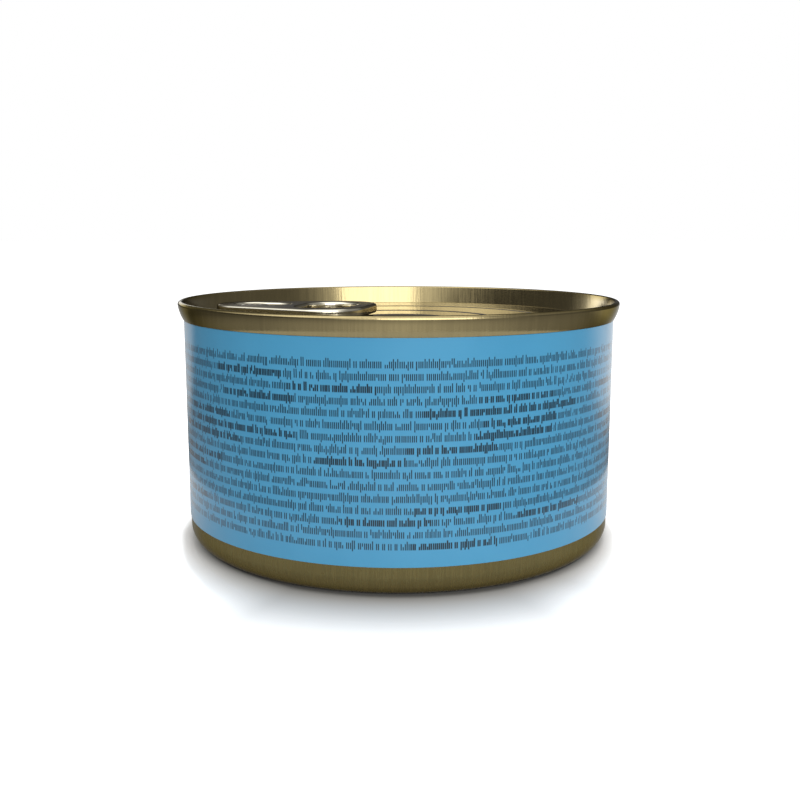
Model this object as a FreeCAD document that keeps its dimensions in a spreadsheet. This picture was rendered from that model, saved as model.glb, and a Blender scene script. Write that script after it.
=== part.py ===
"""Shallow round two-piece can of cat food with a full-aperture easy-open lid.

Millimetres, +Z up, the origin on the can's axis at the level it stands on.
Four pieces: the drawn body with its contents, the wraparound label, the lid
with its double seam and rivet, and the ring-pull tab that the rivet holds.
"""
import FreeCAD, Part
import math
import os

import Sketcher

# Every driving dimension: alias, value, what it is.
DIMENSIONS = [
    ("can_height", 37.2, "standing ring to the top of the double seam"),
    ("seam_radius", 34.15, "widest radius, over the double seam"),
    ("seam_depth", 2.75, "top of the seam to its lower lip"),
    ("seam_width", 1.2, "seam across its crown, outside to inside"),
    ("seam_round", 0.45, "rounding of the seam's crown, outside and inside"),
    ("seam_lean", 8.0, "outer face off vertical just below the crown, degrees"),
    ("flare_radius", 6.0, "convex curve of the seam's outer face"),
    ("chuck_lean", 12.0, "inner wall of the recess off vertical, degrees"),
    ("sink_round", 0.45, "round bottom of the countersink groove"),
    ("sink_depth", 0.6, "countersink groove below the panel"),
    ("panel_depth", 2.9, "panel below the top of the seam"),
    ("panel_step", 0.15, "each ring step of the panel"),
    ("step_run", 0.4, "slope of a ring step, across"),
    ("outer_ring", 23.0, "radius of the outer ring step"),
    ("inner_ring", 15.1, "radius of the inner ring step"),
    ("well_radius", 8.0, "finger well in the middle of the panel"),
    ("well_run", 1.6, "slope of the finger well, across"),
    ("well_depth", 0.45, "floor of the finger well below its edge"),
    ("plate", 0.25, "lid sheet"),
    ("score_radius", 30.5, "score line that the nose breaks"),
    ("score_width", 0.3, "score line across"),
    ("score_depth", 0.1, "score line into the panel"),
    ("body_radius", 33.15, "bare drawn wall"),
    ("corner_radius", 2.8, "bottom corner of the drawn wall"),
    ("stand_width", 0.6, "flat of the ring the can stands on"),
    ("heel_run", 1.1, "slope from the standing ring to the base panel, across"),
    ("base_rise", 1.5, "base panel above the standing level"),
    ("bead_radius", 21.5, "middle of the base's expansion bead"),
    ("bead_width", 3.2, "base bead across"),
    ("bead_depth", 0.6, "base bead below the base panel"),
    ("label_thickness", 0.12, "paper of the wraparound label"),
    ("label_bottom", 4.3, "lower edge of the label"),
    ("label_gap", 0.05, "upper edge of the label below the seam's lip"),
    ("label_lap", 7.0, "overlap of the label's ends, around the wall"),
    ("nose_azimuth", 166.0, "direction of the rivet from the axis, degrees"),
    ("rivet_reach", 24.3, "rivet from the can's axis"),
    ("boss_foot", 3.5, "foot radius of the rivet's raised boss"),
    ("boss_crown", 2.7, "top radius of the rivet's raised boss"),
    ("shank_radius", 1.6, "rivet shank"),
    ("rivet_radius", 2.5, "rivet head"),
    ("rivet_height", 0.32, "height of the rivet head"),
    ("rivet_round", 0.2, "rounding of the rivet head"),
    ("tab_lift", 0.1, "tab's rolled rim above the panel"),
    ("tab_height", 1.5, "rolled rim, bottom to top"),
    ("tab_round", 0.6, "rounding of the rolled rim"),
    ("nose_reach", 6.2, "rivet to the tip of the nose"),
    ("nose_radius", 5.4, "round of the nose end"),
    ("grip_reach", 19.5, "rivet to the finger end"),
    ("grip_corner", 6.0, "round corners of the finger end"),
    ("grip_half", 9.6, "half the tab's width at the finger hole"),
    ("rim_width", 2.75, "rolled rim around the finger hole"),
    ("hole_length", 8.5, "finger hole along the tab"),
    ("web_sink", 0.45, "web below the rim's top and above its underside"),
    ("web_round", 3.25, "round ends of the web's recess"),
    ("web_length", 2.75, "between the centres of the recess's ends"),
    ("slit_radius", 2.75, "inner edge of the slit that frees the rivet's tongue"),
    ("slit_width", 0.3, "slit across"),
    ("hinge_angle", 42.0, "half the tongue's hinge, seen from the rivet, degrees"),
]
CLOCKWISE = -1
ANTICLOCKWISE = 1


class Size:
    """A length that is both a number and the sheet expression it comes from."""

    def __init__(self, value, text):
        self.value = value
        self.text = text

    def __add__(self, other):
        other = size_of(other)
        return Size(self.value + other.value, f"({self.text} + {other.text})")

    def __sub__(self, other):
        other = size_of(other)
        return Size(self.value - other.value, f"({self.text} - {other.text})")

    def __mul__(self, other):
        other = size_of(other)
        return Size(self.value * other.value, f"({self.text} * {other.text})")

    def __truediv__(self, other):
        other = size_of(other)
        return Size(self.value / other.value, f"({self.text} / {other.text})")

    def __neg__(self):
        return Size(-self.value, f"(-1 * {self.text})")


def size_of(number):
    return number if isinstance(number, Size) else Size(number, str(number))


def square_root(size):
    return Size(math.sqrt(size.value), f"sqrt({size.text})")


def cosine(degrees):
    return Size(math.cos(math.radians(degrees.value)), f"cos({degrees.text})")


def sine(degrees):
    return Size(math.sin(math.radians(degrees.value)), f"sin({degrees.text})")


def make_sheet(doc):
    """Write the driving dimensions and hand them back as a dictionary of Sizes."""
    sheet = doc.addObject("Spreadsheet::Sheet", "Sizes")
    sizes = {}
    for row, (alias, value, meaning) in enumerate(DIMENSIONS, start=1):
        sheet.set(f"A{row}", meaning)
        sheet.set(f"B{row}", str(value))
        sheet.setAlias(f"B{row}", alias)
        sizes[alias] = Size(value, f"Sizes.{alias}")
    doc.recompute()
    return sizes


def new_body(doc, label):
    body = doc.addObject("PartDesign::Body", f"Body_{label}")
    body.Label = label
    return body


def new_sketch(body, name, plane):
    """An empty sketch on one of the body's own origin planes."""
    sketch = body.newObject("Sketcher::SketchObject", name)
    planes = [f for f in body.Origin.OriginFeatures if f.Role == plane]
    sketch.AttachmentSupport = (planes[0], [""])
    sketch.MapMode = "FlatFace"
    return sketch


def hold(sketch, kind, where, size):
    """Add one dimensional constraint and bind it to its expression."""
    index = sketch.addConstraint(Sketcher.Constraint(kind, *where, abs(size.value)))
    text = size.text if size.value > 0 else f"(-1 * {size.text})"
    sketch.setExpression(f"Constraints[{index}]", text)


def hold_point(sketch, edge, end, across, up):
    """Fix one end of an edge to its two coordinates in the sketch."""
    axes = (("DistanceX", across, -2), ("DistanceY", up, -1))
    for kind, size, axis in axes:
        if abs(size.value) < 1e-9:
            on_axis = Sketcher.Constraint("PointOnObject", edge, end, axis)
            sketch.addConstraint(on_axis)
        elif size.value > 0:
            hold(sketch, kind, (-1, 1, edge, end), size)
        else:
            hold(sketch, kind, (edge, end, -1, 1), size)


def arc_between(start, finish, radius, turn):
    """The shorter arc from start to finish, turning the given way."""
    chord = finish - start
    half = chord.Length / 2
    rise = math.sqrt(max(radius * radius - half * half, 0.0))
    side = FreeCAD.Vector(-chord.y, chord.x, 0).normalize() * turn
    centre = (start + finish) / 2 + side * rise
    first, last = (start, finish) if turn == ANTICLOCKWISE else (finish, start)
    angles = [math.atan2(p.y - centre.y, p.x - centre.x) for p in (first, last)]
    circle = Part.Circle(centre, FreeCAD.Vector(0, 0, 1), radius)
    return Part.ArcOfCircle(circle, *angles)


def draw_outline(sketch, path):
    """Draw a closed outline whose points and radii follow the sheet.

    Each step of the path is (across, up) for a straight run to that point, or
    (across, up, radius, turn) for an arc to it.  The last run closes the path.
    """
    corners = [FreeCAD.Vector(step[0].value, step[1].value, 0) for step in path]
    ends = []
    for number, step in enumerate(path):
        start, finish = corners[number - 1], corners[number]
        if len(step) == 2:
            edge = sketch.addGeometry(Part.LineSegment(start, finish), False)
            ends.append((edge, 1, 2))
        else:
            radius, turn = step[2], step[3]
            arc = arc_between(start, finish, radius.value, turn)
            edge = sketch.addGeometry(arc, False)
            ends.append((edge, 1, 2) if turn == ANTICLOCKWISE else (edge, 2, 1))
            hold(sketch, "Radius", (edge,), radius)
    for number, step in enumerate(path):
        edge, _, end = ends[number]
        following, begin, _ = ends[(number + 1) % len(path)]
        joint = Sketcher.Constraint("Coincident", edge, end, following, begin)
        sketch.addConstraint(joint)
        hold_point(sketch, edge, end, step[0], step[1])


def revolve(body, name, sketch):
    turned = body.newObject("PartDesign::Revolution", name)
    turned.Profile = sketch
    turned.ReferenceAxis = (sketch, ["V_Axis"])
    turned.Angle = 360
    return turned


def pad(body, name, sketch, height):
    grown = body.newObject("PartDesign::Pad", name)
    grown.Profile = sketch
    grown.setExpression("Length", height.text)
    return grown


def lift_sketch(sketch, height):
    """Raise a sketch above the body's own base plane."""
    sketch.setExpression("AttachmentOffset.Base.z", height.text)


def edges_at(feature, height):
    """Names of the feature's edges that lie flat at one height."""
    names = []
    for number, edge in enumerate(feature.Shape.Edges, start=1):
        box = edge.BoundBox
        if abs(box.ZMin - height) < 1e-4 and abs(box.ZMax - height) < 1e-4:
            names.append(f"Edge{number}")
    return names


def round_edges(doc, body, name, feature, names, radius):
    rounding = body.newObject("PartDesign::Fillet", name)
    rounding.Base = (feature, names)
    rounding.setExpression("Radius", radius.text)
    doc.recompute()
    return rounding


def can_levels(dim):
    """Heights and radii that more than one piece needs."""
    level = {}
    level["seam_top"] = dim["can_height"]
    level["seam_lip"] = dim["can_height"] - dim["seam_depth"]
    level["crown_centre"] = dim["can_height"] - dim["seam_round"]
    level["panel"] = dim["can_height"] - dim["panel_depth"]
    level["middle"] = level["panel"] - dim["panel_step"]
    level["inner"] = level["middle"] - dim["panel_step"]
    level["well"] = level["inner"] - dim["well_depth"]
    level["sink_floor"] = level["panel"] - dim["sink_depth"]
    level["sink_centre"] = level["sink_floor"] + dim["sink_round"]
    level["tab_floor"] = level["panel"] + dim["tab_lift"]
    level["tab_top"] = level["tab_floor"] + dim["tab_height"]
    level["web_floor"] = level["tab_floor"] + dim["web_sink"]
    level["web_top"] = level["tab_top"] - dim["web_sink"]
    inner_crown = dim["seam_radius"] - dim["seam_width"] + dim["seam_round"]
    lean_across = dim["seam_round"] * cosine(dim["chuck_lean"])
    lean_up = dim["seam_round"] * sine(dim["chuck_lean"])
    level["inner_crown"] = inner_crown
    level["wall_head"] = inner_crown - lean_across
    level["wall_head_up"] = level["crown_centre"] + lean_up
    wall_rise = level["wall_head_up"] - level["sink_centre"]
    slope = sine(dim["chuck_lean"]) / cosine(dim["chuck_lean"])
    level["wall_foot"] = level["wall_head"] - wall_rise * slope
    level["panel_edge"] = level["wall_foot"] - dim["sink_round"] * 2
    return level


def ring_steps(dim, level, drop):
    """The panel's surface from the middle out to its edge, lowered by drop."""
    half_run = dim["step_run"] / 2
    return [
        (size_of(0.0), level["well"] - drop),
        (dim["well_radius"] - dim["well_run"], level["well"] - drop),
        (dim["well_radius"], level["inner"] - drop),
        (dim["inner_ring"] - half_run, level["inner"] - drop),
        (dim["inner_ring"] + half_run, level["middle"] - drop),
        (dim["outer_ring"] - half_run, level["middle"] - drop),
        (dim["outer_ring"] + half_run, level["panel"] - drop),
    ]


def lid_underside(dim, level):
    """Where the lid rests on the contents and the body, from the middle out."""
    rest = ring_steps(dim, level, dim["plate"])
    inner = level["panel_edge"] - dim["plate"]
    outer = level["wall_foot"] + dim["plate"]
    rest.append((inner, level["panel"] - dim["plate"]))
    rest.append((inner, level["sink_floor"] - dim["plate"]))
    rest.append((outer, level["sink_floor"] - dim["plate"]))
    rest.append((outer, level["seam_lip"]))
    rest.append((dim["body_radius"], level["seam_lip"]))
    return rest


def make_can_body(doc, dim, level):
    """The drawn can with its contents: a standing ring, a base with one bead."""
    body = new_body(doc, "can_body")
    stand_out = dim["body_radius"] - dim["corner_radius"]
    stand_in = stand_out - dim["stand_width"]
    bead, half = dim["bead_radius"], dim["bead_width"] / 2
    depth = dim["bead_depth"]
    bead_round = (half * half + depth * depth) / (depth * 2)
    path = list(reversed(lid_underside(dim, level)))
    path += [
        (size_of(0.0), dim["base_rise"]),
        (bead - half, dim["base_rise"]),
        (bead + half, dim["base_rise"], bead_round, ANTICLOCKWISE),
        (stand_in - dim["heel_run"], dim["base_rise"]),
        (stand_in, size_of(0.0)),
        (stand_out, size_of(0.0)),
        (dim["body_radius"], dim["corner_radius"],
         dim["corner_radius"], ANTICLOCKWISE),
    ]
    sketch = new_sketch(body, "DrawnProfile", "XZ_Plane")
    draw_outline(sketch, path)
    revolve(body, "DrawnCan", sketch)
    return body


def make_label(doc, dim, level):
    """A paper band right round the wall, lapped over itself at the back."""
    body = new_body(doc, "label")
    top = level["seam_lip"] - dim["label_gap"]
    outside = dim["body_radius"] + dim["label_thickness"]
    bands = (
        ("Band", "XZ_Plane", dim["body_radius"], outside),
        ("Lap", "YZ_Plane", outside, outside + dim["label_thickness"]),
    )
    for name, plane, inner, outer in bands:
        sketch = new_sketch(body, f"{name}Profile", plane)
        draw_outline(sketch, [
            (inner, dim["label_bottom"]),
            (outer, dim["label_bottom"]),
            (outer, top),
            (inner, top),
        ])
        turned = revolve(body, name, sketch)
    turned.Midplane = True
    lap = dim["label_lap"] / outside * (180 / math.pi)
    turned.setExpression("Angle", lap.text)
    return body


def seam_and_wall(dim, level):
    """Outer face and crown of the double seam, down the wall to the panel."""
    outer_crown = dim["seam_radius"] - dim["seam_round"]
    flare_across = outer_crown + dim["seam_round"] * cosine(dim["seam_lean"])
    flare_up = level["crown_centre"] - dim["seam_round"] * sine(dim["seam_lean"])
    reach = dim["flare_radius"] - dim["seam_round"]
    centre_across = outer_crown - reach * cosine(dim["seam_lean"])
    centre_up = level["crown_centre"] + reach * sine(dim["seam_lean"])
    drop = centre_up - level["seam_lip"]
    lip_reach = square_root(dim["flare_radius"] * dim["flare_radius"] - drop * drop)
    half_score = dim["score_width"] / 2
    return [
        (centre_across + lip_reach, level["seam_lip"]),
        (flare_across, flare_up, dim["flare_radius"], ANTICLOCKWISE),
        (outer_crown, level["seam_top"], dim["seam_round"], ANTICLOCKWISE),
        (level["inner_crown"], level["seam_top"]),
        (level["wall_head"], level["wall_head_up"],
         dim["seam_round"], ANTICLOCKWISE),
        (level["wall_foot"], level["sink_centre"]),
        (level["wall_foot"] - dim["sink_round"], level["sink_floor"],
         dim["sink_round"], CLOCKWISE),
        (level["panel_edge"], level["sink_centre"], dim["sink_round"], CLOCKWISE),
        (level["panel_edge"], level["panel"]),
        (dim["score_radius"] + half_score, level["panel"]),
        (dim["score_radius"], level["panel"] - dim["score_depth"]),
        (dim["score_radius"] - half_score, level["panel"]),
    ]


def add_disc(body, name, radius, height, dim, base):
    """A round of the rivet: a cylinder of the lid standing at the rivet."""
    disc = body.newObject("PartDesign::AdditiveCylinder", name)
    disc.setExpression("Radius", radius.text)
    disc.setExpression("Height", height.text)
    place_at_rivet(disc, body, dim, base)
    return disc


def place_at_rivet(primitive, body, dim, base):
    planes = [f for f in body.Origin.OriginFeatures if f.Role == "XY_Plane"]
    primitive.AttachmentSupport = (planes[0], [""])
    primitive.MapMode = "FlatFace"
    primitive.setExpression("AttachmentOffset.Base.x", dim["rivet_reach"].text)
    primitive.setExpression("AttachmentOffset.Base.z", base.text)


def make_lid(doc, dim, level):
    """Seam, countersink and stepped panel in one turning, then the rivet.

    The lid's own +X runs from the axis to the rivet, and its Placement turns
    it to the rivet's true direction.
    """
    body = new_body(doc, "lid")
    sketch = new_sketch(body, "LidProfile", "XZ_Plane")
    path = lid_underside(dim, level)
    path += seam_and_wall(dim, level)
    path += list(reversed(ring_steps(dim, level, size_of(0.0))))
    draw_outline(sketch, path)
    revolve(body, "PressedLid", sketch)
    doc.recompute()

    boss = body.newObject("PartDesign::AdditiveCone", "RivetBoss")
    boss.setExpression("Radius1", dim["boss_foot"].text)
    boss.setExpression("Radius2", dim["boss_crown"].text)
    boss.setExpression("Height", (level["web_floor"] - level["middle"]).text)
    place_at_rivet(boss, body, dim, level["middle"])
    web = level["web_top"] - level["web_floor"]
    add_disc(body, "RivetShank", dim["shank_radius"], web, dim, level["web_floor"])
    head = add_disc(body, "RivetHead", dim["rivet_radius"], dim["rivet_height"],
                    dim, level["web_top"])
    doc.recompute()
    head_top = level["web_top"] + dim["rivet_height"]
    crown = edges_at(head, head_top.value)
    near_rivet = [name for name in crown if is_round(head, name, dim["rivet_radius"])]
    round_edges(doc, body, "RivetRound", head, near_rivet, dim["rivet_round"])
    turn_about_axis(body, dim)
    return body


def is_round(feature, name, radius):
    curve = feature.Shape.getElement(name).Curve
    return isinstance(curve, Part.Circle) and abs(curve.Radius - radius.value) < 1e-6


def turn_about_axis(body, dim):
    body.Placement.Rotation = FreeCAD.Rotation(FreeCAD.Vector(0, 0, 1), 1)
    body.setExpression("Placement.Rotation.Angle", dim["nose_azimuth"].text)


def tab_outline(dim):
    """Pear shape: a small round nose widening to a broad, squared finger end.

    The tab's own +X runs from the finger end to the nose, with the rivet at 0.
    Each straight flank is a common tangent of the nose and a finger-end corner.
    """
    nose, corner = dim["nose_radius"], dim["grip_corner"]
    nose_centre = dim["nose_reach"] - nose
    grip_centre = corner - dim["grip_reach"]
    side = dim["grip_half"] - corner
    along = nose_centre - grip_centre
    growth = corner - nose
    span = along * along + side * side
    run = square_root(span - growth * growth)
    normal_across = (growth * along + run * side) / span
    normal_up = (run * along - growth * side) / span
    nose_touch = (nose_centre + nose * normal_across, nose * normal_up)
    grip_touch = (grip_centre + corner * normal_across, side + corner * normal_up)
    end = -dim["grip_reach"]
    return [
        (nose_touch[0], nose_touch[1], nose, ANTICLOCKWISE),
        grip_touch,
        (end, side, corner, ANTICLOCKWISE),
        (end, -side),
        (grip_touch[0], -grip_touch[1], corner, ANTICLOCKWISE),
        (nose_touch[0], -nose_touch[1]),
    ]


def hole_outline(dim):
    """The finger hole: a slot across the tab, with the same rim all round."""
    bend = dim["hole_length"] / 2
    middle = dim["rim_width"] + bend - dim["grip_reach"]
    straight = dim["grip_half"] - dim["rim_width"] - bend
    return [
        (middle + bend, straight),
        (middle, straight + bend, bend, ANTICLOCKWISE),
        (middle - bend, straight, bend, ANTICLOCKWISE),
        (middle - bend, -straight),
        (middle, -(straight + bend), bend, ANTICLOCKWISE),
        (middle + bend, -straight, bend, ANTICLOCKWISE),
    ]


def web_outline(dim):
    """The sunken web around the rivet: a slot along the tab."""
    bend = dim["web_round"]
    far = -dim["web_length"]
    return [
        (size_of(0.0), bend, bend, ANTICLOCKWISE),
        (far, bend),
        (far - bend, size_of(0.0), bend, ANTICLOCKWISE),
        (far, -bend, bend, ANTICLOCKWISE),
        (size_of(0.0), -bend),
        (bend, size_of(0.0), bend, ANTICLOCKWISE),
    ]


def slit_outline(dim):
    """A C round the rivet, open towards the nose, where the tongue is hinged."""
    inner = dim["slit_radius"]
    outer = inner + dim["slit_width"]
    along, aside = cosine(dim["hinge_angle"]), sine(dim["hinge_angle"])
    return [
        (outer * along, outer * aside),
        (-outer, size_of(0.0), outer, ANTICLOCKWISE),
        (outer * along, -(outer * aside), outer, ANTICLOCKWISE),
        (inner * along, -(inner * aside)),
        (-inner, size_of(0.0), inner, CLOCKWISE),
        (inner * along, inner * aside, inner, CLOCKWISE),
    ]


def cut_pocket(body, name, path, height, depth, upward):
    """Cut an outline into the tab from one height, down or up."""
    sketch = new_sketch(body, f"{name}Outline", "XY_Plane")
    lift_sketch(sketch, height)
    draw_outline(sketch, path)
    pocket = body.newObject("PartDesign::Pocket", name)
    pocket.Profile = sketch
    pocket.Reversed = upward
    pocket.setExpression("Length", depth.text)
    return pocket


def cut_rivet_hole(body, dim):
    sketch = new_sketch(body, "RivetHoleOutline", "XY_Plane")
    circle = Part.Circle(FreeCAD.Vector(), FreeCAD.Vector(0, 0, 1),
                         dim["shank_radius"].value)
    edge = sketch.addGeometry(circle, False)
    sketch.addConstraint(Sketcher.Constraint("Coincident", edge, 3, -1, 1))
    hold(sketch, "Radius", (edge,), dim["shank_radius"])
    hole = body.newObject("PartDesign::Pocket", "RivetHole")
    hole.Profile = sketch
    hole.Type = "ThroughAll"
    hole.Midplane = True


def make_pull_tab(doc, dim, level):
    """The ring-pull: a rolled rim round a finger hole, and a web on the rivet."""
    body = new_body(doc, "pull_tab")
    outline = new_sketch(body, "TabOutline", "XY_Plane")
    draw_outline(outline, tab_outline(dim))
    pad(body, "TabBlank", outline, dim["tab_height"])
    ring = cut_pocket(body, "FingerHole", hole_outline(dim), dim["tab_height"],
                      dim["tab_height"], False)
    doc.recompute()
    rims = edges_at(ring, 0.0) + edges_at(ring, dim["tab_height"].value)
    round_edges(doc, body, "RolledRim", ring, rims, dim["tab_round"])
    cut_pocket(body, "WebTop", web_outline(dim), dim["tab_height"],
               dim["web_sink"], False)
    cut_pocket(body, "WebUnderside", web_outline(dim), size_of(0.0),
               dim["web_sink"], True)
    cut_pocket(body, "TongueSlit", slit_outline(dim), dim["tab_height"],
               dim["tab_height"], False)
    cut_rivet_hole(body, dim)
    turn_about_axis(body, dim)
    reach, azimuth = dim["rivet_reach"], dim["nose_azimuth"]
    body.setExpression("Placement.Base.x", (reach * cosine(azimuth)).text)
    body.setExpression("Placement.Base.y", (reach * sine(azimuth)).text)
    body.setExpression("Placement.Base.z", level["tab_floor"].text)
    return body


def check_document(doc, pieces):
    """Stop if anything in the document failed or a piece is not a sound solid."""
    for item in doc.Objects:
        if "Invalid" in item.State or "Error" in item.State:
            raise RuntimeError(f"{item.Name} failed: {item.State}")
    for piece in pieces:
        if piece.Shape.isNull() or not piece.Shape.isValid():
            raise RuntimeError(f"{piece.Label} has no valid shape")
        if len(piece.Shape.Solids) != 1:
            raise RuntimeError(f"{piece.Label} is not one solid")


def main():
    os.makedirs("parts", exist_ok=True)
    doc = FreeCAD.newDocument("cat_food_can")
    dim = make_sheet(doc)
    level = can_levels(dim)
    makers = (make_can_body, make_label, make_lid, make_pull_tab)
    pieces = [make(doc, dim, level) for make in makers]
    doc.recompute()
    check_document(doc, pieces)
    for piece in pieces:
        box = piece.Shape.BoundBox
        print(f"{piece.Label}: {piece.Shape.Volume:.1f} mm3,"
              f" z {box.ZMin:.3f} to {box.ZMax:.3f}, {box.XLength:.2f} x"
              f" {box.YLength:.2f}")
        piece.Shape.exportStep(f"parts/{piece.Label}.step")


main()
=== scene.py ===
import math

import bmesh
import bpy
from mathutils import Matrix, Vector


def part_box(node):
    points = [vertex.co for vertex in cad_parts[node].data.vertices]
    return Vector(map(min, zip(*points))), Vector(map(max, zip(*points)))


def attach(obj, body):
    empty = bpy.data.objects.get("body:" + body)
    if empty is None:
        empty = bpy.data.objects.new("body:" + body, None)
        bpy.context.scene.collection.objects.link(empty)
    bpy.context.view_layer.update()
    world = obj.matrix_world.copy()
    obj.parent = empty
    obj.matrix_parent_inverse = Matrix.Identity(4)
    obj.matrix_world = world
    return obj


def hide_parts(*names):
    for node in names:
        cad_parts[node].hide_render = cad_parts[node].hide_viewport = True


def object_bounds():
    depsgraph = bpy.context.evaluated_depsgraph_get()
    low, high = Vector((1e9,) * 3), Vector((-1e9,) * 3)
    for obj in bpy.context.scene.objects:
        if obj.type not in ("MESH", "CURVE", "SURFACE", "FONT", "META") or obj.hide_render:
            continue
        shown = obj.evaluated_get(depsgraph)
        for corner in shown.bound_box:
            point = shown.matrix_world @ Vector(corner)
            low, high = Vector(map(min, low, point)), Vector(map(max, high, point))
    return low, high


# Sizes are in millimetres, and MM turns them into metres.
MM = 0.001
TURN_STEPS = 256
SHARP = math.radians(35)
HOLD = 0.03
DEGREES = 180 / math.pi

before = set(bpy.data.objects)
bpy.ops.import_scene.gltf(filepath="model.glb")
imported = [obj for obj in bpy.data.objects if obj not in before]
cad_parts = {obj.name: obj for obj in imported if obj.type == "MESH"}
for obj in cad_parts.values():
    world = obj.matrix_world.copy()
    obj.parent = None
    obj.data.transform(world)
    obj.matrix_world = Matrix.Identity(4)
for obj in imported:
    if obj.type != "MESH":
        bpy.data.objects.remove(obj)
cad_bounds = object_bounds()
seam_radius = cad_bounds[1][0] / MM
can_height = cad_bounds[1][2] / MM
label_low, label_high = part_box("label")
label_bottom = label_low.z / MM
label_top = label_high.z / MM
tab_low, tab_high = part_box("pull_tab")
tab_floor = tab_low.z / MM
tab_top = tab_high.z / MM

# The drawn body: wall, bottom corner, standing ring, and the bead in its base.
WALL_RADIUS = 33.15
CORNER_ROUND = 2.8
STAND_INNER, STAND_OUTER = 29.75, 30.35
HEEL_INNER = 28.65
BASE, BEAD = 1.5, 0.9
BODY_TOP = 33.2
SEAM_TUCK = 0.3

# The lid, downwards from its seam's crown.
LIP = can_height - 2.75
PANEL = can_height - 2.9
MIDDLE = PANEL - 0.15
INNER = MIDDLE - 0.15
WELL = INNER - 0.45
SINK = PANEL - 0.6
PLATE = 0.25
UNDERSIDE = 33.25
DOMING = 0.03

# The lid, out from its axis.
WELL_FLOOR, WELL_EDGE = 6.4, 8.0
INNER_STEP = (14.9, 15.3)
OUTER_STEP = (22.8, 23.2)
SCORE_RADIUS, SCORE_HALF, SCORE_DEPTH = 30.5, 0.15, 0.1
GROOVE_INNER, GROOVE_OUTER, GROOVE_ROUND = 31.49, 32.68, 0.44
CROWN_INNER = 33.42
SEAM_FOOT = 33.36

# The tab and its rivet.
RIVET_REACH = 24.3
NOSE_AZIMUTH = math.radians(166.0)
HEAD_RADIUS = 2.5
WEB_SINK = 0.45
HINGE_SINK = 0.02
RIM_ROLL = (0.45, 0.42)
WEB_ROLL = (0.06, 0.06)

# The label.
PAPER = 0.12
PAPER_ROUND = 0.03
LAP_WIDTH = 7.0

# Where the lid's gloss changes, out from its axis.
PANEL_GLOSS_EDGE = (31.3, 31.7)
SEAM_TINT_EDGE = (33.2, 33.4)


# ---------------------------------------------------------------- shapes

def chain(mesh, corners, closed=False):
    """Edges through corners of (across, up, run of rounding), in the XZ plane.

    A point is kept close to each end of a rounding, so that what is straight
    stays straight in its shading too.
    """
    points = [mesh.verts.new((across * MM, 0, up * MM)) for across, up, _ in corners]
    runs = {point: run * MM for point, (_, _, run) in zip(points, corners)}
    pairs = list(zip(points, points[1:] + points[:1]))
    for start, end in pairs if closed else pairs[:-1]:
        edge = mesh.edges.new((start, end))
        for near in (start, end):
            length, hold = edge.calc_length(), runs[near] + HOLD * MM
            if runs[near] and length > hold + runs[edge.other_vert(near)] + HOLD * MM:
                _, held = bmesh.utils.edge_split(edge, near, hold / length)
                runs[held] = 0
                edge = next(e for e in held.link_edges if near not in e.verts)
    for point, run in list(runs.items()):
        if run:
            bmesh.ops.bevel(mesh, geom=[point], offset=run, offset_type="OFFSET",
                            segments=6 if run < MM else 12, profile=0.5, material=-1,
                            affect="VERTICES", clamp_overlap=False)


def turn_chain(mesh, steps=TURN_STEPS):
    bmesh.ops.spin(mesh, geom=mesh.verts[:] + mesh.edges[:], cent=(0, 0, 0),
                   axis=(0, 0, 1), angle=math.tau, steps=steps, use_merge=True)


def new_piece(mesh, name, material):
    """An object of a finished mesh, at the origin."""
    data = bpy.data.meshes.new(name)
    mesh.to_mesh(data)
    mesh.free()
    data.materials.append(material)
    piece = bpy.data.objects.new(name, data)
    bpy.context.scene.collection.objects.link(piece)
    return piece


def finish_piece(mesh, name, material, replaced):
    """Merge, turn the faces outwards and ride on the can."""
    bmesh.ops.remove_doubles(mesh, verts=mesh.verts[:], dist=1e-7)
    bmesh.ops.recalc_face_normals(mesh, faces=mesh.faces[:])
    piece = new_piece(mesh, name, material)
    piece.data.shade_smooth()
    piece.data.set_sharp_from_angle(angle=SHARP)
    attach(piece, "root")
    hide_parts(*replaced)


def turned_piece(name, corners, material, replaced, closed=False):
    mesh = bmesh.new()
    chain(mesh, corners, closed)
    turn_chain(mesh)
    finish_piece(mesh, name, material, replaced)


def hull_loop(mesh, rounds, up, segments):
    """A closed loop around rounds of (along, aside, radius), like a taut belt."""
    made = bmesh.ops.create_circle(mesh, cap_ends=False, segments=segments, radius=1.0)
    for vert in made["verts"]:
        out = vert.co.normalized()
        along, aside, radius = max(
            rounds, key=lambda r: r[0] * out.x + r[1] * out.y + r[2])
        vert.co = Vector((along + radius * out.x, aside + radius * out.y, up)) * MM
    return list({edge for vert in made["verts"] for edge in vert.link_edges})


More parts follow.
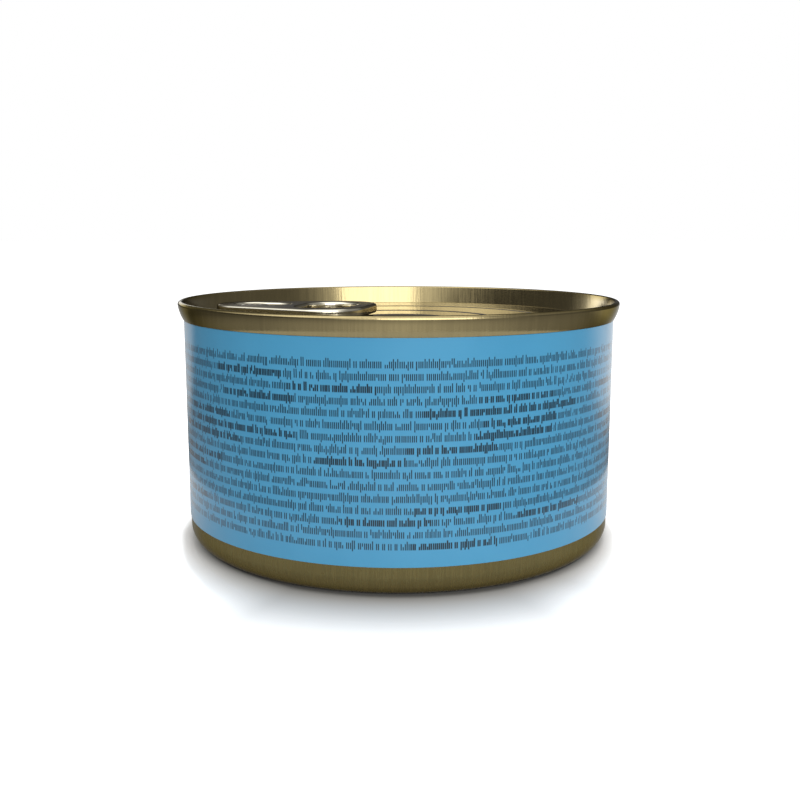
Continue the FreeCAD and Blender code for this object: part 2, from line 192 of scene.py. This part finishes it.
def rolled_plate(mesh, loops, bottom, top, roll_in, roll_up, rings):
    """A plate inside the first loop and outside the others, its edges rolled."""
    edges = []
    for rounds, segments in loops:
        edges += hull_loop(mesh, rounds, bottom + roll_up, segments)
    filled = bmesh.ops.triangle_fill(mesh, use_beauty=True, use_dissolve=False,
                                     edges=edges)
    low = [item for item in filled["geom"] if isinstance(item, bmesh.types.BMFace)]
    bmesh.ops.recalc_face_normals(mesh, faces=low)
    if low[0].normal.z > 0:
        bmesh.ops.reverse_faces(mesh, faces=low)
    raised = bmesh.ops.extrude_face_region(mesh, geom=low, use_keep_orig=True)["geom"]
    high = [item for item in raised if isinstance(item, bmesh.types.BMFace)]
    lift = Vector((0, 0, (top - bottom - 2 * roll_up) * MM))
    bmesh.ops.translate(mesh, verts=list({v for f in high for v in f.verts}), vec=lift)
    bmesh.ops.recalc_face_normals(mesh, faces=mesh.faces[:])
    for faces in (low, high):
        for ring in range(rings):
            start, end = (math.pi / 2 * (ring + k) / rings for k in (0, 1))
            bmesh.ops.inset_region(
                mesh, faces=faces, use_boundary=True, use_even_offset=True,
                thickness=roll_in * MM * (math.cos(start) - math.cos(end)),
                depth=roll_up * MM * (math.sin(end) - math.sin(start)))
        bmesh.ops.inset_region(mesh, faces=faces, use_boundary=True,
                               use_even_offset=True, thickness=HOLD * MM)


def place_on_rivet(mesh):
    """Turn what was made about the rivet, nose along +X, to its place."""
    turn = Matrix.Rotation(NOSE_AZIMUTH, 4, "Z")
    reach = Vector((RIVET_REACH * MM, 0, 0))
    bmesh.ops.transform(mesh, verts=mesh.verts[:],
                        matrix=turn @ Matrix.Translation(reach))


# ---------------------------------------------------------------- node helpers

def add(tree, kind, **values):
    node = tree.nodes.new(kind)
    for name, value in values.items():
        setattr(node, name, value)
    return node


def feed(tree, target, value):
    """Join an output to a socket, or write a plain number or colour on it."""
    if isinstance(value, bpy.types.NodeSocket):
        tree.links.new(value, target)
    else:
        target.default_value = value


def calc(tree, operation, first, second=0.0):
    node = add(tree, "ShaderNodeMath", operation=operation)
    feed(tree, node.inputs[0], first)
    feed(tree, node.inputs[1], second)
    return node.outputs[0]


def blend_colours(tree, share, first, second):
    node = add(tree, "ShaderNodeMix", data_type="RGBA")
    feed(tree, node.inputs[0], share)
    feed(tree, node.inputs[6], first)
    feed(tree, node.inputs[7], second)
    return node.outputs[2]


def vector_of(tree, x, y, z):
    node = add(tree, "ShaderNodeCombineXYZ")
    for place, value in enumerate((x, y, z)):
        feed(tree, node.inputs[place], value)
    return node.outputs[0]


def noise(tree, vector, scale, detail=2.0, roughness=0.5):
    node = add(tree, "ShaderNodeTexNoise")
    feed(tree, node.inputs["Vector"], vector)
    feed(tree, node.inputs["Scale"], scale)
    feed(tree, node.inputs["Detail"], detail)
    feed(tree, node.inputs["Roughness"], roughness)
    return node.outputs["Fac"]


def ramp(tree, value, low, high, to_low=0.0, to_high=1.0):
    node = add(tree, "ShaderNodeMapRange", clamp=True)
    for place, number in enumerate((value, low, high, to_low, to_high)):
        feed(tree, node.inputs[place], number)
    return node.outputs[0]


def grey(level):
    return (level, level, level, 1.0)


def srgb(red, green, blue):
    """A colour given as 0 to 255 display values."""
    def linear(value):
        value /= 255
        return value / 12.92 if value <= 0.04045 else ((value + 0.055) / 1.055) ** 2.4
    return (linear(red), linear(green), linear(blue), 1.0)


def new_material(name, base, roughness, metallic):
    material = bpy.data.materials.new(name)
    material.use_nodes = True
    shader = material.node_tree.nodes["Principled BSDF"]
    shader.inputs["Base Color"].default_value = base
    shader.inputs["Roughness"].default_value = roughness
    shader.inputs["Metallic"].default_value = metallic
    return material, material.node_tree, shader


def new_group(name, inputs, outputs):
    group = bpy.data.node_groups.new(name, "ShaderNodeTree")
    for label, kind in inputs:
        group.interface.new_socket(label, in_out="INPUT", socket_type=kind)
    for label, kind in outputs:
        group.interface.new_socket(label, in_out="OUTPUT", socket_type=kind)
    return group, add(group, "NodeGroupInput"), add(group, "NodeGroupOutput")


def use_group(tree, group, **values):
    node = add(tree, "ShaderNodeGroup", node_tree=group)
    for name, value in values.items():
        feed(tree, node.inputs[name], value)
    return node


def object_millimetres(tree):
    """Object coordinates in millimetres: the vector, and x, y and z."""
    coordinates = add(tree, "ShaderNodeTexCoord")
    scale = add(tree, "ShaderNodeVectorMath", operation="SCALE")
    feed(tree, scale.inputs[0], coordinates.outputs["Object"])
    scale.inputs["Scale"].default_value = 1 / MM
    parts = add(tree, "ShaderNodeSeparateXYZ")
    feed(tree, parts.inputs[0], scale.outputs[0])
    return scale.outputs[0], parts.outputs[0], parts.outputs[1], parts.outputs[2]


def length_flat(tree, x, y):
    """Distance from the can's axis."""
    return calc(tree, "SQRT", calc(tree, "ADD", calc(tree, "MULTIPLY", x, x),
                                   calc(tree, "MULTIPLY", y, y)))


def arc_from_front(tree, x, y, radius):
    """Distance round from the front, on this radius, positive to the right."""
    back = calc(tree, "MULTIPLY", y, -1.0)
    return calc(tree, "MULTIPLY", calc(tree, "ARCTAN2", x, back), radius)


# ---------------------------------------------------------------- finishes

def make_grain():
    """Rolling grain of tinplate: long fine lines, and what they do to gloss."""
    group, given, result = new_group(
        "rolling grain",
        [("Across", "NodeSocketFloat"), ("Along", "NodeSocketFloat"),
         ("Drift", "NodeSocketFloat")],
        [("Lines", "NodeSocketFloat"), ("Bands", "NodeSocketFloat")])
    along = calc(group, "MULTIPLY", given.outputs["Along"], 0.06)
    drift = calc(group, "MULTIPLY", given.outputs["Drift"], 0.06)
    spot = vector_of(group, given.outputs["Across"], along, drift)
    fine = noise(group, spot, 3.2, 2.0, 0.6)
    broad = noise(group, spot, 0.55, 1.0, 0.5)
    feed(group, result.inputs["Lines"], fine)
    feed(group, result.inputs["Bands"], broad)
    return group


def add_bump(tree, shader, height, strength, distance):
    bump = add(tree, "ShaderNodeBump")
    bump.inputs["Strength"].default_value = strength
    bump.inputs["Distance"].default_value = distance * MM
    feed(tree, bump.inputs["Height"], height)
    feed(tree, shader.inputs["Normal"], bump.outputs[0])


def show_grain(tree, shader, lines, base, roughness, matt=1.0):
    """Clear gold lacquer over tinplate whose grain shows through."""
    fine, broad = lines.outputs["Lines"], lines.outputs["Bands"]
    tone = calc(tree, "ADD", calc(tree, "MULTIPLY", fine, 0.7),
                calc(tree, "MULTIPLY", broad, 0.3))
    darker = tuple(c * 0.93 for c in base[:3]) + (1.0,)
    lighter = tuple(min(c * 1.06, 1.0) for c in base[:3]) + (1.0,)
    feed(tree, shader.inputs["Base Color"],
         blend_colours(tree, ramp(tree, tone, 0.35, 0.65), darker, lighter))
    feed(tree, shader.inputs["Roughness"], calc(
        tree, "MULTIPLY", matt,
        ramp(tree, fine, 0.3, 0.7, roughness * 0.8, roughness * 1.25)))
    add_bump(tree, shader, fine, 0.6, 0.02)


def lid_lacquer(grain):
    """Gold over the whole lid: glossier on the panel, and duller on the seam."""
    base, roughness = srgb(156, 142, 104), 0.14
    material, tree, shader = new_material("lid lacquer", base, roughness, 1.0)
    _, x, y, z = object_millimetres(tree)
    reach = length_flat(tree, x, y)
    matt = ramp(tree, reach, *PANEL_GLOSS_EDGE, 0.7, 1.0)
    feed(tree, shader.inputs["Specular Tint"],
         blend_colours(tree, ramp(tree, reach, *SEAM_TINT_EDGE),
                       grey(1.0), (0.36, 0.35, 0.3, 1.0)))
    lines = use_group(tree, grain, Across=x, Along=y, Drift=z)
    show_grain(tree, shader, lines, base, roughness, matt)
    return material


def body_lacquer(grain):
    # A darker gold than the lid's: painted shade standing in for the dim reflections on
    # the bare band at the can's foot.
    base, roughness = srgb(120, 108, 70), 0.26
    material, tree, shader = new_material("body lacquer", base, roughness, 1.0)
    shader.inputs["Specular Tint"].default_value = (0.6, 0.57, 0.5, 1.0)
    _, x, y, z = object_millimetres(tree)
    around = arc_from_front(tree, x, y, WALL_RADIUS)
    lines = use_group(tree, grain, Across=around, Along=z, Drift=0.0)
    show_grain(tree, shader, lines, base, roughness)
    return material


def tab_steel():
    base = srgb(214, 208, 190)
    material, tree, shader = new_material("tab tinplate", base, 0.12, 1.0)
    shader.inputs["Specular Tint"].default_value = (0.24, 0.22, 0.19, 1.0)
    spot, _, _, _ = object_millimetres(tree)
    patches = noise(tree, spot, 0.6, 3.0, 0.6)
    feed(tree, shader.inputs["Roughness"], ramp(tree, patches, 0.3, 0.7, 0.08, 0.17))
    return material


# Rows of ticks: their places and heights, and shares of a tick's own cell.
ROWS = 16
ROW_PITCH = 1.591
FIRST_ROW = 30.98
X_HEIGHT = 0.87
TICK_PITCH = 0.265
TICK_HALF = 0.27
TICK_EDGE = 0.09
TICK_JITTER = 0.2
HEAVIER_BY = 0.12
HEAVY_RUN = 46.0
HEAVY_SHARE = 0.24
GAP_SHARE = 0.33
TALL, TALLER_BY = 0.82, 0.32
SHORT, SHORTER_BY = 0.07, 0.4
DEEP, DEEPER_BY = 0.93, 0.28
RAISED, RAISED_BY = 0.03, 0.4
BARE_BESIDE_LAP = 6.0


def random_of(tree, first, second, seed):
    node = add(tree, "ShaderNodeTexWhiteNoise", noise_dimensions="3D")
    feed(tree, node.inputs["Vector"], vector_of(tree, first, second, seed))
    return node.outputs["Value"], node.outputs["Color"]


def band_mask(tree, value, low, high, soft):
    """1 between low and high, with soft edges."""
    rise = ramp(tree, value, calc(tree, "SUBTRACT", low, soft),
                calc(tree, "ADD", low, soft))
    fall = ramp(tree, value, calc(tree, "SUBTRACT", high, soft),
                calc(tree, "ADD", high, soft), 1.0, 0.0)
    return calc(tree, "MULTIPLY", rise, fall)


def make_print_rows():
    """Rows of small upright ticks in groups, where small print would be."""
    group, given, result = new_group(
        "print rows",
        [("Around", "NodeSocketFloat"), ("Up", "NodeSocketFloat")],
        [("Ink", "NodeSocketFloat")])
    around, up = given.outputs["Around"], given.outputs["Up"]
    place = calc(group, "DIVIDE", calc(
        group, "SUBTRACT", FIRST_ROW + ROW_PITCH / 2, up), ROW_PITCH)
    row = calc(group, "FLOOR", place)
    height = calc(group, "MULTIPLY",
                  calc(group, "SUBTRACT", 0.5, calc(group, "FRACT", place)), ROW_PITCH)
    shift, _ = random_of(group, row, 0.0, 3.0)
    cell = calc(group, "ADD", calc(group, "DIVIDE", around, TICK_PITCH),
                calc(group, "MULTIPLY", shift, 97.0))
    index = calc(group, "FLOOR", cell)
    across = calc(group, "SUBTRACT", calc(group, "FRACT", cell), 0.5)
    _, chances = random_of(group, index, row, 7.0)
    parts = add(group, "ShaderNodeSeparateColor")
    feed(group, parts.inputs[0], chances)
    aside, above, below = parts.outputs
    jitter = calc(group, "MULTIPLY", calc(group, "SUBTRACT", aside, 0.5), TICK_JITTER)
    # there may be a gap after every third tick
    trio = calc(group, "DIVIDE", index, 3.0)
    word, _ = random_of(group, calc(group, "FLOOR", trio), row, 11.0)
    last = calc(group, "GREATER_THAN", calc(group, "FRACT", trio), 0.6)
    gap = calc(group, "MULTIPLY", last, calc(group, "LESS_THAN", word, GAP_SHARE))
    # some stretches are heavier
    stretch = calc(group, "FLOOR", calc(group, "DIVIDE", cell, HEAVY_RUN))
    weight, _ = random_of(group, stretch, row, 19.0)
    heavy = calc(group, "LESS_THAN", weight, HEAVY_SHARE)
    half = calc(group, "ADD", TICK_HALF, calc(group, "MULTIPLY", heavy, HEAVIER_BY))
    offset = calc(group, "ABSOLUTE", calc(group, "SUBTRACT", across, jitter))
    side = ramp(group, offset, calc(group, "SUBTRACT", half, TICK_EDGE),
                calc(group, "ADD", half, TICK_EDGE), 1.0, 0.0)
    # most ticks are of one height, and some stand taller, shorter, lower or higher
    tall = calc(group, "GREATER_THAN", above, TALL)
    short = calc(group, "LESS_THAN", above, SHORT)
    head = calc(group, "ADD", X_HEIGHT / 2, calc(
        group, "SUBTRACT", calc(group, "MULTIPLY", tall, TALLER_BY),
        calc(group, "MULTIPLY", short, SHORTER_BY)))
    deep = calc(group, "GREATER_THAN", below, DEEP)
    raised = calc(group, "LESS_THAN", below, RAISED)
    foot = calc(group, "ADD", -X_HEIGHT / 2, calc(
        group, "SUBTRACT", calc(group, "MULTIPLY", raised, RAISED_BY),
        calc(group, "MULTIPLY", deep, DEEPER_BY)))
    upright = band_mask(group, height, foot, head, 0.06)
    inside = band_mask(group, place, 0.0, float(ROWS), 0.001)
    ends = calc(group, "LESS_THAN", calc(group, "ABSOLUTE", around),
                math.pi * WALL_RADIUS - BARE_BESIDE_LAP)
    ink = calc(group, "MULTIPLY", calc(group, "MULTIPLY", side, upright),
               calc(group, "MULTIPLY", calc(group, "SUBTRACT", 1.0, gap),
                    calc(group, "MULTIPLY", inside, ends)))
    feed(group, result.inputs["Ink"], ink)
    return group


def label_paper(rows):
    base = srgb(72, 152, 193)
    material, tree, shader = new_material("label paper", base, 0.38, 0.0)
    spot, x, y, z = object_millimetres(tree)
    around = arc_from_front(tree, x, y, WALL_RADIUS + PAPER)
    print_rows = use_group(tree, rows, Around=around, Up=z)
    mottle = noise(tree, spot, 0.09, 2.0, 0.5)
    blue = blend_colours(tree, ramp(tree, mottle, 0.3, 0.7),
                         srgb(69, 149, 190), srgb(74, 154, 195))
    feed(tree, shader.inputs["Base Color"],
         blend_colours(tree, print_rows.outputs["Ink"], blue, srgb(16, 38, 50)))
    shader.inputs["Coat Weight"].default_value = 0.9
    shader.inputs["Coat Roughness"].default_value = 0.12
    shader.inputs["Specular IOR Level"].default_value = 0.1
    add_bump(tree, shader, noise(tree, spot, 7.0, 3.0, 0.6), 0.15, 0.01)
    return material


# ---------------------------------------------------------------- the can

def make_body(material):
    """Drawn can: stacking bead under the base, rounded bottom corner, wall."""
    turned_piece("drawn_body", [
        (0, BASE, 0), (19.9, BASE, 0.3), (20.9, BEAD, 0.5), (22.1, BEAD, 0.5),
        (23.1, BASE, 0.3), (HEEL_INNER, BASE, 0.7), (STAND_INNER, 0, 0.3),
        (STAND_OUTER, 0, 0), (WALL_RADIUS, 0, CORNER_ROUND), (WALL_RADIUS, LIP, 0),
        (WALL_RADIUS - SEAM_TUCK, LIP, 0), (WALL_RADIUS - SEAM_TUCK, BODY_TOP, 0),
        (0, BODY_TOP, 0),
    ], material, ["can_body"])


def make_lid(material):
    """Double seam, countersink, score and stepped panel with a finger well."""
    top = can_height
    turned_piece("easy_open_end", [
        (0, WELL, 0), (WELL_FLOOR, WELL, 0.9), (WELL_EDGE, INNER - DOMING, 0.6),
        (INNER_STEP[0], INNER + DOMING, 0.3), (INNER_STEP[1], MIDDLE - DOMING, 0.15),
        (OUTER_STEP[0], MIDDLE + DOMING, 0.3), (OUTER_STEP[1], PANEL - DOMING, 0.15),
        (SCORE_RADIUS - SCORE_HALF, PANEL, 0),
        (SCORE_RADIUS, PANEL - SCORE_DEPTH, 0.05),
        (SCORE_RADIUS + SCORE_HALF, PANEL, 0), (GROOVE_INNER, PANEL, 0.15),
        (GROOVE_INNER, SINK, GROOVE_ROUND), (GROOVE_OUTER, SINK, GROOVE_ROUND),
        (CROWN_INNER, top, 0.2), (seam_radius + 0.03, top, 0.54),
        (33.95, 35.42, 1.1), (SEAM_FOOT, LIP, 0.1), (WALL_RADIUS, LIP, 0),
        (WALL_RADIUS - PLATE, LIP - 0.05, 0), (WALL_RADIUS - PLATE, SINK - PLATE, 0),
        (0, UNDERSIDE, 0),
    ], material, ["lid"])


def make_rivet(material):
    """The rivet's head over the web, and its neck down to the panel."""
    web_top = tab_top - WEB_SINK
    mesh = bmesh.new()
    chain(mesh, [
        (0, web_top + 0.28, 0), (0.9, web_top + 0.28, 0.2), (1.1, web_top + 0.33, 0.1),
        (2.1, web_top + 0.32, 0.25), (HEAD_RADIUS, web_top + 0.02, 0.2),
        (1.7, web_top - 0.05, 0), (1.6, tab_floor + WEB_SINK, 0),
        (2.7, tab_floor + WEB_SINK, 0.15), (3.5, MIDDLE - 0.02, 0), (0, MIDDLE - 0.05, 0),
    ])
    turn_chain(mesh)
    place_on_rivet(mesh)
    finish_piece(mesh, "rivet", material, ["lid"])


def make_tab(material):
    """Rolled ring, sunk web, and the tongue that a slit and a hinge set free."""
    outline = ([(0.8, 0, 5.4), (-13.5, 3.6, 6.0), (-13.5, -3.6, 6.0)], 144)
    hole = ([(-12.5, 2.6, 4.25), (-12.5, -2.6, 4.25)], 96)
    recess = ([(0, 0, 3.25), (-2.75, 0, 3.25)], 80)
    web = ([(0, 0, 3.4), (-2.75, 0, 3.4)], 80)
    slit = ([(0, 0, 3.05)], 64)
    tongue = ([(0, 0, 2.75)], 64)
    hinge = ([(1.9, 1.5, 0.35), (1.9, -1.5, 0.35), (2.7, 1.8, 0.35),
              (2.7, -1.8, 0.35)], 40)
    low, high = tab_floor + WEB_SINK, tab_top - WEB_SINK
    for name, loops, bottom, top, roll, rings in (
            ("ring_pull_rim", [outline, hole, recess], tab_floor, tab_top, RIM_ROLL, 6),
            ("ring_pull_web", [web, slit], low, high, WEB_ROLL, 2),
            ("ring_pull_tongue", [tongue], low, high, WEB_ROLL, 2),
            ("ring_pull_hinge", [hinge], low, high - HINGE_SINK, WEB_ROLL, 2)):
        mesh = bmesh.new()
        rolled_plate(mesh, loops, bottom, top, *roll, rings)
        place_on_rivet(mesh)
        finish_piece(mesh, name, material, ["pull_tab"])


def make_label(material):
    """Paper all round the wall, and its glued lap at the back."""
    inner, outer = WALL_RADIUS, WALL_RADIUS + PAPER
    turned_piece("wrap_label", [
        (inner, label_bottom, 0), (outer, label_bottom, PAPER_ROUND),
        (outer, label_top, PAPER_ROUND), (inner, label_top, 0),
    ], material, ["label"], closed=True)
    mesh = bmesh.new()
    chain(mesh, [
        (outer, label_bottom, 0), (outer + PAPER, label_bottom, PAPER_ROUND),
        (outer + PAPER, label_top, PAPER_ROUND), (outer, label_top, 0),
    ], closed=True)
    angle = LAP_WIDTH / outer
    bmesh.ops.rotate(mesh, verts=mesh.verts[:], cent=(0, 0, 0),
                     matrix=Matrix.Rotation(math.pi / 2 - angle / 2, 3, "Z"))
    start = mesh.edges[:]
    swept = bmesh.ops.spin(mesh, geom=mesh.verts[:] + mesh.edges[:], cent=(0, 0, 0),
                           axis=(0, 0, 1), angle=angle, steps=12)
    end = [item for item in swept["geom_last"] if isinstance(item, bmesh.types.BMEdge)]
    bmesh.ops.edgeloop_fill(mesh, edges=start)
    bmesh.ops.edgeloop_fill(mesh, edges=end)
    finish_piece(mesh, "label_lap", material, ["label"])


grain = make_grain()
lid_finish = lid_lacquer(grain)
body_finish = body_lacquer(grain)
tab_finish = tab_steel()
paper = label_paper(make_print_rows())
make_body(body_finish)
make_lid(lid_finish)
make_rivet(lid_finish)
make_tab(tab_finish)
make_label(paper)


# ---------------------------------------------------------------- the studio

def seen_directly(tree):
    """1 for what the eye, a mirror or glass sees, and 0 for plain light."""
    path = add(tree, "ShaderNodeLightPath")
    seen = calc(tree, "MAXIMUM", path.outputs["Is Camera Ray"],
                path.outputs["Is Glossy Ray"])
    return calc(tree, "MAXIMUM", seen, path.outputs["Is Transmission Ray"])


def tone_along(tree, value, stops, scale):
    """A tone over scale, read off (value, tone) stops, straight between them."""
    first, last = stops[0][0], stops[-1][0]
    node = add(tree, "ShaderNodeValToRGB")
    elements = node.color_ramp.elements
    while len(elements) < len(stops):
        elements.new(0.5)
    for element, (at, tone) in zip(elements, stops):
        element.position = (at - first) / (last - first)
        element.color = grey(tone / scale)
    feed(tree, node.inputs[0], ramp(tree, value, first, last))
    return node.outputs[0]


def new_tree(name):
    """A material with nothing in it yet."""
    material = bpy.data.materials.new(name)
    material.use_nodes = True
    material.node_tree.nodes.clear()
    return material, material.node_tree


def finish_tree(tree, shader):
    output = add(tree, "ShaderNodeOutputMaterial")
    tree.links.new(shader.outputs[0], output.inputs[0])


# A shadow painted on the floor where the can stands, over its real shadow: its tone by
# distance from the can's axis, and how many times quicker it ends to the sides, by degrees
# from the front.
CONTACT_SHADE = [(30, .1), (32, .08), (33, .18), (35, .25), (47, .6), (52, 1)]
SHADE_STARTS = 31.0
SHADE_SPREAD = [(-180, 5), (-75, 5), (-55, 3.1), (-42, 2.1), (-36, 1.75), (-26, 1),
                (26, 1), (36, 1.6), (42, 1.8), (55, 3), (75, 5), (180, 5)]
QUICKEST = 5.0
FLOOR_GREY = 0.78
FLOOR_SEEN = 2.3
FLOOR_MIRRORED = (0.75, 0.92)


def make_floor():
    mesh = bmesh.new()
    bmesh.ops.create_grid(mesh, x_segments=1, y_segments=1, size=4.0)
    material, tree = new_tree("studio floor")
    floor = new_piece(mesh, "studio_floor", material)
    spot, x, y, _ = object_millimetres(tree)
    length = add(tree, "ShaderNodeVectorMath", operation="LENGTH")
    feed(tree, length.inputs[0], spot)
    degrees = arc_from_front(tree, x, y, DEGREES)
    quicker = calc(tree, "MULTIPLY",
                   tone_along(tree, degrees, SHADE_SPREAD, QUICKEST), QUICKEST)
    beyond = calc(tree, "SUBTRACT", length.outputs["Value"], SHADE_STARTS)
    away = calc(tree, "ADD", calc(tree, "MULTIPLY", calc(tree, "MAXIMUM", beyond, 0.0),
                                  quicker), calc(tree, "MINIMUM", beyond, 0.0))
    # painted shade: the floor darkened by distance and direction from the can
    painted_shade = tone_along(tree, calc(tree, "ADD", away, SHADE_STARTS),
                         CONTACT_SHADE, 1.0)
    # The eye sees the floor white under the painted shade; reflections see it dimmer, with
    # the same painted shade.
    white = blend_colours(tree, painted_shade, grey(0.0), grey(FLOOR_SEEN))
    dim = blend_colours(tree, painted_shade, *(grey(level) for level in FLOOR_MIRRORED))
    path = add(tree, "ShaderNodeLightPath")
    seen = blend_colours(tree, path.outputs["Is Glossy Ray"], white, dim)
    diffuse = add(tree, "ShaderNodeBsdfDiffuse")
    feed(tree, diffuse.inputs["Color"],
         blend_colours(tree, seen_directly(tree), grey(FLOOR_GREY), seen))
    finish_tree(tree, diffuse)


def make_world():
    world = bpy.data.worlds.new("studio")
    bpy.context.scene.world = world
    world.use_nodes = True
    tree = world.node_tree
    background = tree.nodes["Background"]
    feed(tree, background.inputs["Color"],
         blend_colours(tree, seen_directly(tree), grey(0.5), grey(1.0)))


LAMPS_AIM = (0, 0, 35)


def aim(item, at):
    direction = Vector(at) * MM - item.location
    item.rotation_euler = direction.to_track_quat("-Z", "Y").to_euler()


def softbox(name, place, at, wide, tall, level):
    """A soft panel that shines at a level of radiance, where 1 is white."""
    light = bpy.data.lights.new(name, "AREA")
    light.shape = "RECTANGLE"
    light.size, light.size_y = wide * MM, tall * MM
    light.energy = level * math.pi * light.size * light.size_y
    lamp = bpy.data.objects.new(name, light)
    bpy.context.scene.collection.objects.link(lamp)
    lamp.location = Vector(place) * MM
    aim(lamp, at)
    lamp.visible_camera = False
    return lamp


# What the can's gloss shows, by degrees to the right of the front: tones of the
# floor close by and far off, and of bands of the wall from its foot upwards.
NEAR_FLOOR = [(-180, .12), (-150, .15), (-120, .3), (-61, .36), (-30, .58), (0, .90),
              (30, .66), (62, .38), (90, .32), (113, .27), (150, .20), (180, .12)]
FAR_FLOOR = [(-180, .4), (-165, .65), (-135, .65), (-126, .12), (-61, .20),
             (-30, .34), (0, .46), (30, .40), (62, .30), (105, .27), (122, .9),
             (165, 1.0), (180, .4)]
FRONT_WINDOW = [(-60, .10), (-42, .25), (-31, .45), (-19, 1.3), (38, 1.3),
                (44, .85), (56, .36), (70, .2)]
SILL = [(-180, .12)] + FRONT_WINDOW + [(150, .17), (180, .12)]
LOW_WALL = ([(-180, .12), (-172, .2), (-166, .9), (-159, 2.9), (-147, 2.9),
             (-142, 2.2), (-139, .8), (-132, .35), (-122, .12)]
            + FRONT_WINDOW + [(150, .17), (180, .12)])
HIGH_WALL = ([(-180, .15), (-135, .3), (-120, .1)]
             + FRONT_WINDOW + [(120, .2), (180, .15)])
UPPER_WALL = [(-180, .2), (-135, .3), (-120, .3), (-90, 1.3), (-70, 2.1), (-53, 2.5),
              (-31, 2.3), (-19, 1.7), (38, 1.6), (44, 1.1), (56, .6), (70, .4),
              (120, .35), (180, .2)]
CEILING = 1.9
BRIGHTEST = 3.0
# Where one gives way to the next, by distance from the foot of the can or height.
NEAR_TO_FAR = (85, 160)
FLOOR_TO_SILL = (5, 30)
SILL_TO_LOW = (60, 80)
LOW_TO_HIGH = (150, 175)
HIGH_TO_UPPER = (238, 285)
WALL_TO_CEILING = (560, 640)
CEILING_EDGE = (400, 250)


def make_surround():
    """A sweep, walls and a ceiling that only reflections see, with soft tones."""
    mesh = bmesh.new()
    chain(mesh, [(64, 0.3, 0), (480, 0.3, 0), (520, 30, 0), (520, 640, 0),
                 (0, 700, 0)])
    turn_chain(mesh, 48)
    material, tree = new_tree("surround")
    surround = new_piece(mesh, "surround", material)
    spot, x, y, z = object_millimetres(tree)
    length = add(tree, "ShaderNodeVectorMath", operation="LENGTH")
    feed(tree, length.inputs[0], spot)
    degrees = arc_from_front(tree, x, y, DEGREES)
    near, far, sill, low, high, upper = (
        tone_along(tree, degrees, stops, BRIGHTEST)
        for stops in (NEAR_FLOOR, FAR_FLOOR, SILL, LOW_WALL, HIGH_WALL, UPPER_WALL))
    floor = blend_colours(tree, ramp(tree, length.outputs["Value"], *NEAR_TO_FAR),
                          near, far)
    wall = blend_colours(tree, ramp(tree, z, *LOW_TO_HIGH), low, high)
    wall = blend_colours(tree, ramp(tree, z, *HIGH_TO_UPPER), wall, upper)
    wall = blend_colours(tree, ramp(tree, z, *SILL_TO_LOW), sill, wall)
    sides = blend_colours(tree, ramp(tree, z, *FLOOR_TO_SILL), floor, wall)
    over = calc(tree, "MULTIPLY", ramp(tree, z, *WALL_TO_CEILING),
                ramp(tree, length_flat(tree, x, y), *CEILING_EDGE))
    glow = add(tree, "ShaderNodeEmission")
    feed(tree, glow.inputs["Color"],
         blend_colours(tree, over, sides, grey(CEILING / BRIGHTEST)))
    glow.inputs["Strength"].default_value = BRIGHTEST
    finish_tree(tree, glow)
    surround.visible_camera = False
    surround.visible_diffuse = False
    surround.visible_shadow = False


def make_camera():
    camera = bpy.data.cameras.new("camera")
    camera.lens = 44.672
    camera.sensor_width = 36.0
    eye = bpy.data.objects.new("camera", camera)
    bpy.context.scene.collection.objects.link(eye)
    eye.location = (0.0002, -0.15712, 0.047684)
    eye.rotation_euler = (math.radians(80.305), 0, 0)
    camera.clip_start = 0.005
    bpy.context.scene.camera = eye


make_floor()
make_world()
make_camera()
softbox("front_softbox", (90, -370, 175), LAMPS_AIM, wide=330, tall=300, level=2.8)
overhead = softbox("overhead_softbox", (60, 20, 420), LAMPS_AIM, wide=260, tall=260,
                   level=2.4)
overhead.visible_glossy = False
make_surround()
bpy.context.scene.view_settings.view_transform = "Standard"
